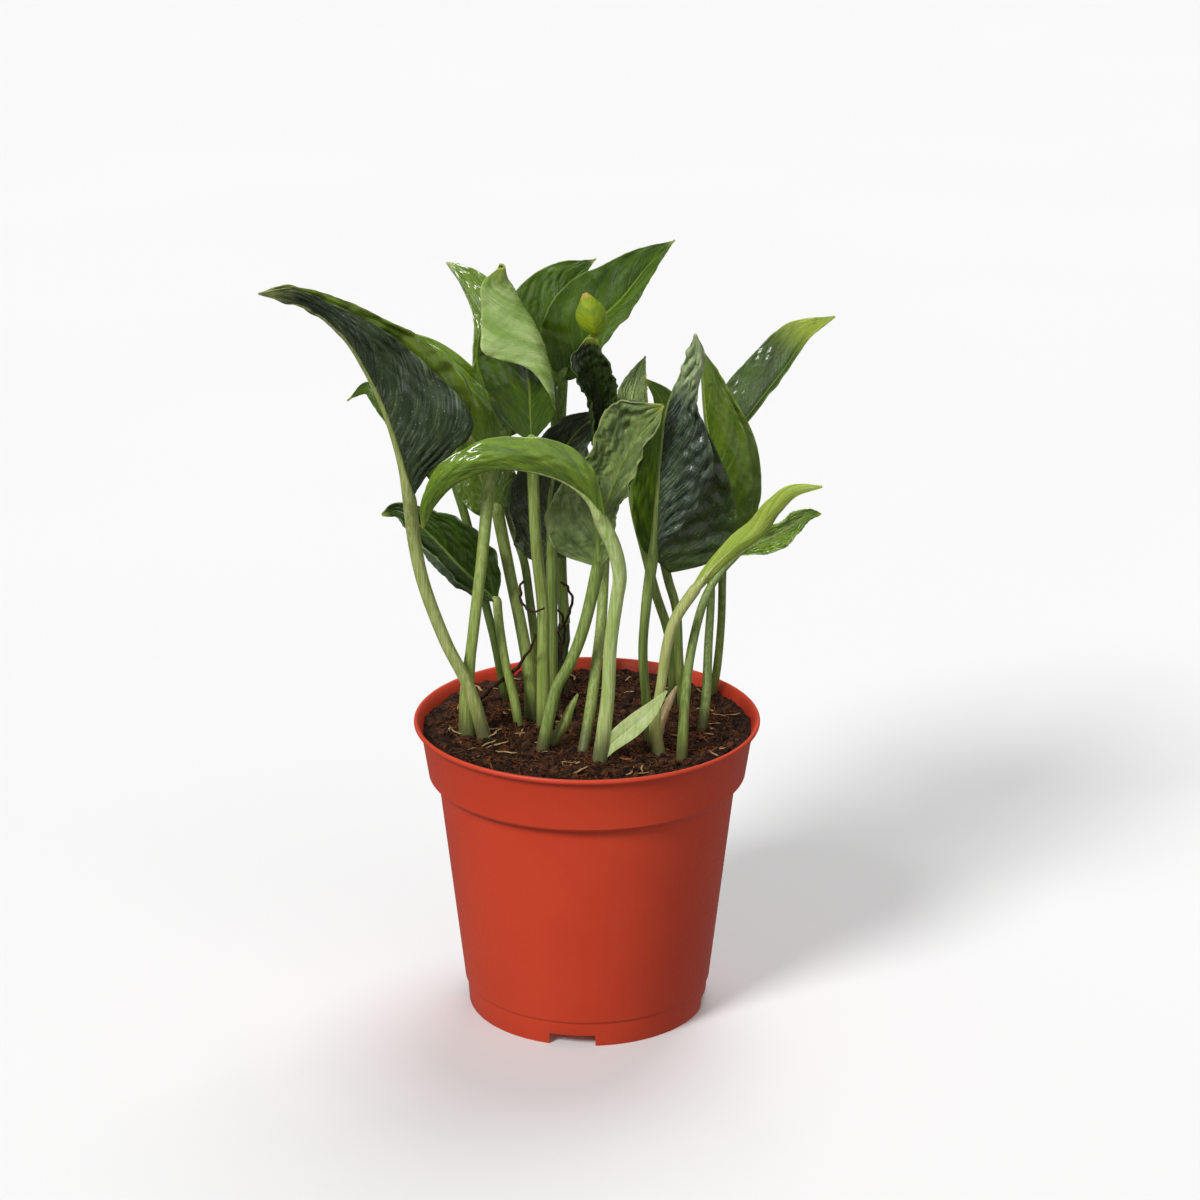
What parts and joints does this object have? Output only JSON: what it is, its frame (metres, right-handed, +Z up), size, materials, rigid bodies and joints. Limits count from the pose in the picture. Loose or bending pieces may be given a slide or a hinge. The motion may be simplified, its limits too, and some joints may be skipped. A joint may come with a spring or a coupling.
{
  "type": "potted pothos plant",
  "caption": "Young potted pothos plant: folded and rolled pointed leaves on upright stalks, in soil in a tapered round plastic nursery pot with a deep rim band.",
  "frame": {"origin": "on the ground, under the middle of the whole plant's bounding box; the pot's axis stands at x +8 mm, y -1.6 mm", "axes": "+Z up, -Y towards the front, +X to the right as seen from the front"},
  "size_m": [0.1904, 0.1232, 0.2691],
  "materials": {
    "pot_plastic": "satin",
    "potting_soil": "matte",
    "leaf_green": "satin",
    "leaf_dark": "satin",
    "leaf_pale": "satin",
    "stalk": "satin",
    "sheath": "matte",
    "dry_root": "matte"
  },
  "bodies": {
    "root": {"pot": "pot_plastic", "soil": "potting_soil", "leaf_left_tall": "leaf_dark", "stalk_left_tall": "stalk", "leaf_left_green": "leaf_pale", "stalk_left_green": "stalk", "leaf_hooded": "leaf_pale", "stalk_hooded": "stalk", "leaf_arched": "leaf_green", "stalk_arched": "stalk", "leaf_centre_pouch": "leaf_dark", "stalk_centre_pouch": "stalk", "leaf_centre_back": "leaf_dark", "stalk_centre_back": "stalk", "leaf_back_right": "leaf_green", "stalk_back_right": "stalk", "leaf_back_middle": "leaf_green", "stalk_back_middle": "stalk", "leaf_back_left": "leaf_green", "stalk_back_left": "stalk", "leaf_spoon_tip": "leaf_dark", "stalk_spoon_tip": "stalk", "leaf_small_back": "leaf_dark", "stalk_small_back": "stalk", "leaf_right_inner": "leaf_green", "stalk_right_inner": "stalk", "leaf_right_dark": "leaf_dark", "stalk_right_dark": "stalk", "leaf_right_green": "leaf_green", "stalk_right_green": "stalk", "leaf_far_right": "leaf_green", "stalk_far_right": "stalk", "leaf_low_rolled": "leaf_pale", "stalk_low_rolled": "stalk", "leaf_low_crumpled": "leaf_dark", "stalk_low_crumpled": "stalk", "leaf_low_left": "leaf_green", "stalk_low_left": "stalk", "leaf_far_left": "leaf_green", "stalk_far_left": "stalk", "leaf_left_inner": "leaf_green", "stalk_left_inner": "stalk", "vine_stem": "stalk", "sheath_front": "sheath", "sheath_small": "sheath", "sheath_dry": "sheath", "air_root": "dry_root"}
  },
  "joints": []
}
